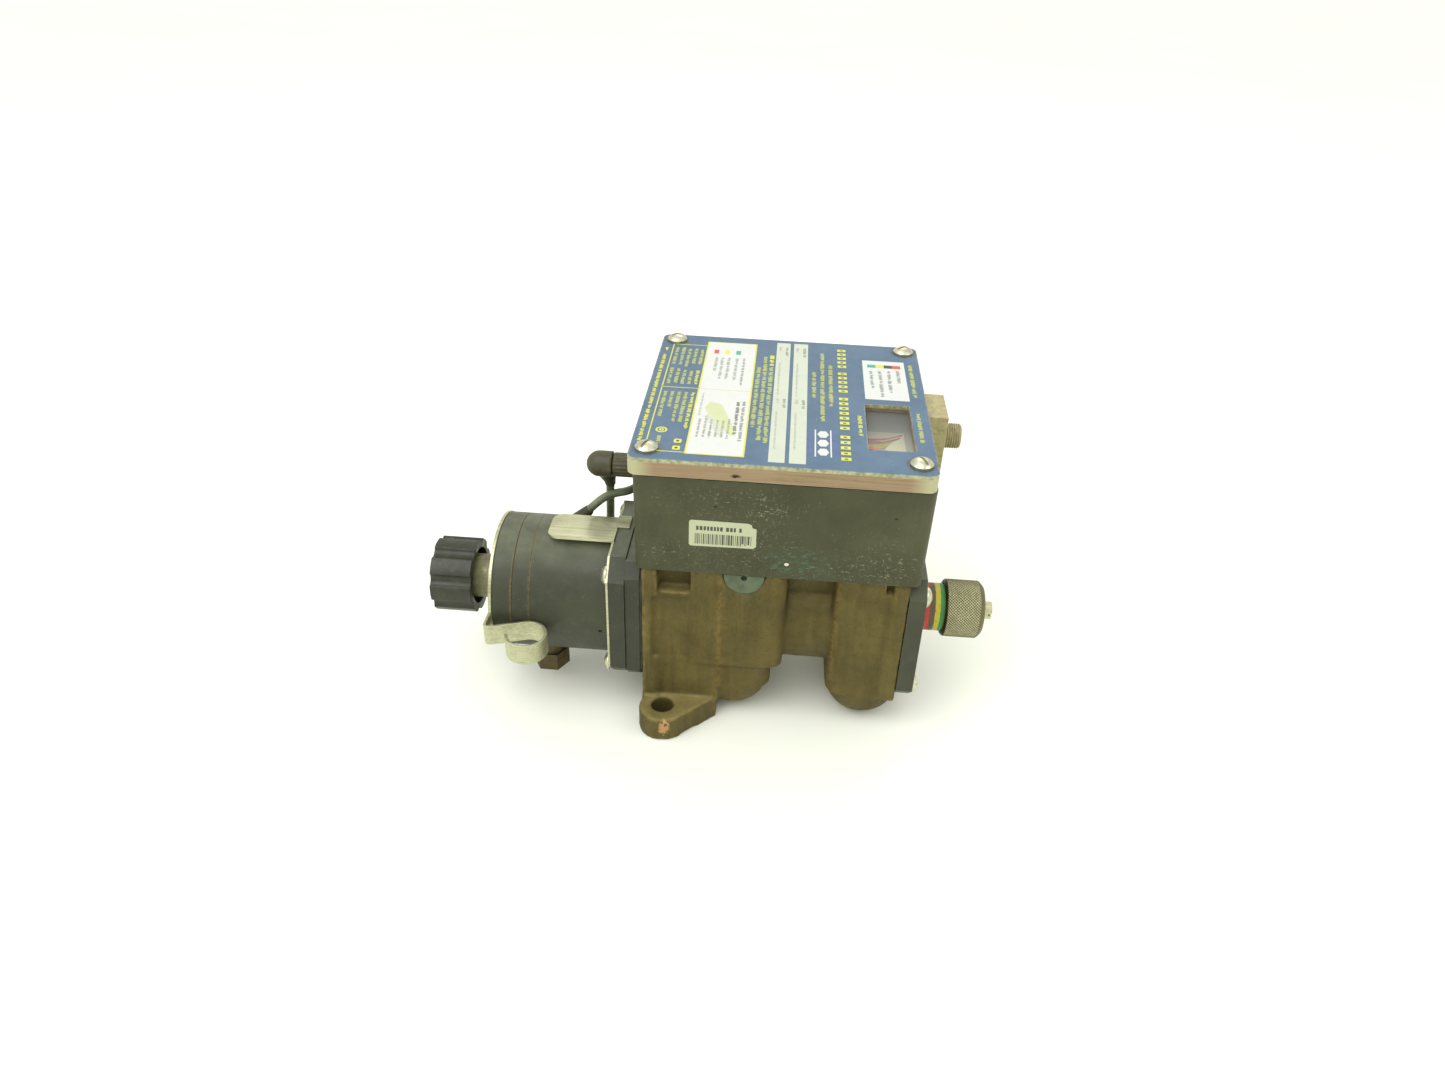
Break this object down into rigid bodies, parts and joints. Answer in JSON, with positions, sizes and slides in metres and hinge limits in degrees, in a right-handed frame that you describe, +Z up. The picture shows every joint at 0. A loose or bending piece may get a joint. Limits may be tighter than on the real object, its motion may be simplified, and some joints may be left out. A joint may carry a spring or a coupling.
{
  "type": "cooling water zone valve with flow monitor",
  "caption": "Bronze shut-off and flow-monitor water valve with push knob actuator, electronics box with dial window, colour-banded adjusting knob and a short sensor lead.",
  "frame": {"origin": "midway between the two mounting-foot holes, on the plane the feet stand on", "axes": "+X along the main bore towards the adjusting knob, -Y towards the front of the label, +Z up"},
  "size_m": [0.26, 0.1446, 0.1406],
  "materials": {
    "bronze_casting": "cast, tarnished brown",
    "black_anodised": "satin black anodised, scuffed",
    "box_paint": "matte black-olive moulding, scratched",
    "stainless_sheet": "brushed",
    "screw_steel": "plated, slightly dull",
    "lid_steel": "brushed edge",
    "label_print": "printed blue aluminium sheet",
    "clear_window": "clear, lightly scratched",
    "card": "printed cream card",
    "pointer_red": "matte red",
    "machined_brass": "turned brass",
    "band_paint": "painted colour bands",
    "knurled_steel": "diamond knurl, dull",
    "stem_steel": "ground stainless",
    "knob_black": "black moulded plastic",
    "seal_rubber": "black rubber",
    "grey_rubber": "grey-green rubber",
    "plug_plastic": "dark moulded plastic",
    "drain_metal": "dark plated brass",
    "connector_metal": "worn nickel on brass",
    "insert_plastic": "black moulded insert",
    "coil_copper": "copper winding",
    "bobbin_plastic": "moulded nylon",
    "board_green": "solder mask",
    "lead_jacket": "grey-green cable jacket"
  },
  "bodies": {
    "valve": {"actuator_flange": "black_anodised", "actuator_housing": "black_anodised", "adaptor_flange": "black_anodised", "adjuster_barrel": "machined_brass", "band_sleeve": "band_paint", "body_gasket": "seal_rubber", "box_gasket": "seal_rubber", "box_screws": "screw_steel", "bracket_screws": "screw_steel", "circuit_board": "board_green", "coil_bobbin": "bobbin_plastic", "coil_winding": "coil_copper", "cover_screws": "screw_steel", "dial_plate": "card", "drain_plug": "drain_metal", "elbow_plug": "plug_plastic", "enclosure_box": "box_paint", "end_cap": "black_anodised", "end_cap_screws": "screw_steel", "end_plate": "stainless_sheet", "end_plate_screws": "screw_steel", "flange_screws": "screw_steel", "flow_spring": "stem_steel", "guide_bush": "machined_brass", "hose_clip": "stainless_sheet", "housing_cap": "black_anodised", "jumper_lead": "lead_jacket", "label_plate": "label_print", "lead_boot": "plug_plastic", "lid_frame": "lid_steel", "m12_insert": "insert_plastic", "m12_receptacle": "connector_metal", "m8_receptacle": "connector_metal", "magnet_yoke": "stem_steel", "pad_gasket": "seal_rubber", "pointer_bush": "machined_brass", "rear_bracket": "stainless_sheet", "reed_switches": "bobbin_plastic", "seat_ring": "machined_brass", "shutoff_spring": "stem_steel", "spacer_ring": "black_anodised", "stem_gland": "machined_brass", "tab_plate": "stainless_sheet", "test_plug": "grey_rubber", "valve_body": "bronze_casting", "window_lens": "clear_window"},
    "shutoff_stem": {"shutoff_knob": "knob_black", "knob_screw": "screw_steel", "valve_stem": "stem_steel", "armature": "stem_steel", "poppet": "stem_steel", "poppet_seal": "seal_rubber"},
    "flow_piston": {"regulating_piston": "machined_brass"},
    "pointer_arm": {"pointer_shaft": "stem_steel", "magnet_hub": "stem_steel", "pointer": "pointer_red"},
    "spring_seat": {"spring_follower": "machined_brass"},
    "adjuster": {"adjusting_knob": "knurled_steel", "adjusting_spindle": "knurled_steel"},
    "plug_nut": {"coupling_nut": "plug_plastic"}
  },
  "joints": [
    {"name": "shutoff_push", "type": "slide", "parent": "valve", "child": "shutoff_stem", "axis": [1, 0, 0], "range_m": [0, 0.01], "deforming": ["shutoff_spring"]},
    {"name": "flow_travel", "type": "slide", "parent": "valve", "child": "flow_piston", "axis": [1, 0, 0], "range_m": [0, 0.008], "stiffness_N_per_m": 150, "deforming": ["flow_spring"]},
    {"name": "pointer_swing", "type": "hinge", "parent": "valve", "child": "pointer_arm", "pos_m": [0.076, 0.012, 0.09], "axis": [0, 0, 1], "range_deg": [-0.5, 37.83]},
    {"name": "adjuster_turn", "type": "hinge", "parent": "spring_seat", "child": "adjuster", "pos_m": [0.13, 0, 0.05], "axis": [1, 0, 0], "range_deg": [-1450, 10]},
    {"name": "adjuster_feed", "type": "slide", "parent": "valve", "child": "spring_seat", "axis": [1, 0, 0], "range_m": [-0.008, 0]},
    {"name": "plug_nut_turn", "type": "hinge", "parent": "valve", "child": "plug_nut", "pos_m": [-0.022, 0.0245, 0.1005], "axis": [1, 0, 0], "continuous": true}
  ],
  "couplings": [
    {"joint": "pointer_swing", "follows": "flow_travel", "rad_per_m": 81.432},
    {"joint": "adjuster_turn", "follows": "adjuster_feed", "rad_per_m": 3141.6}
  ]
}
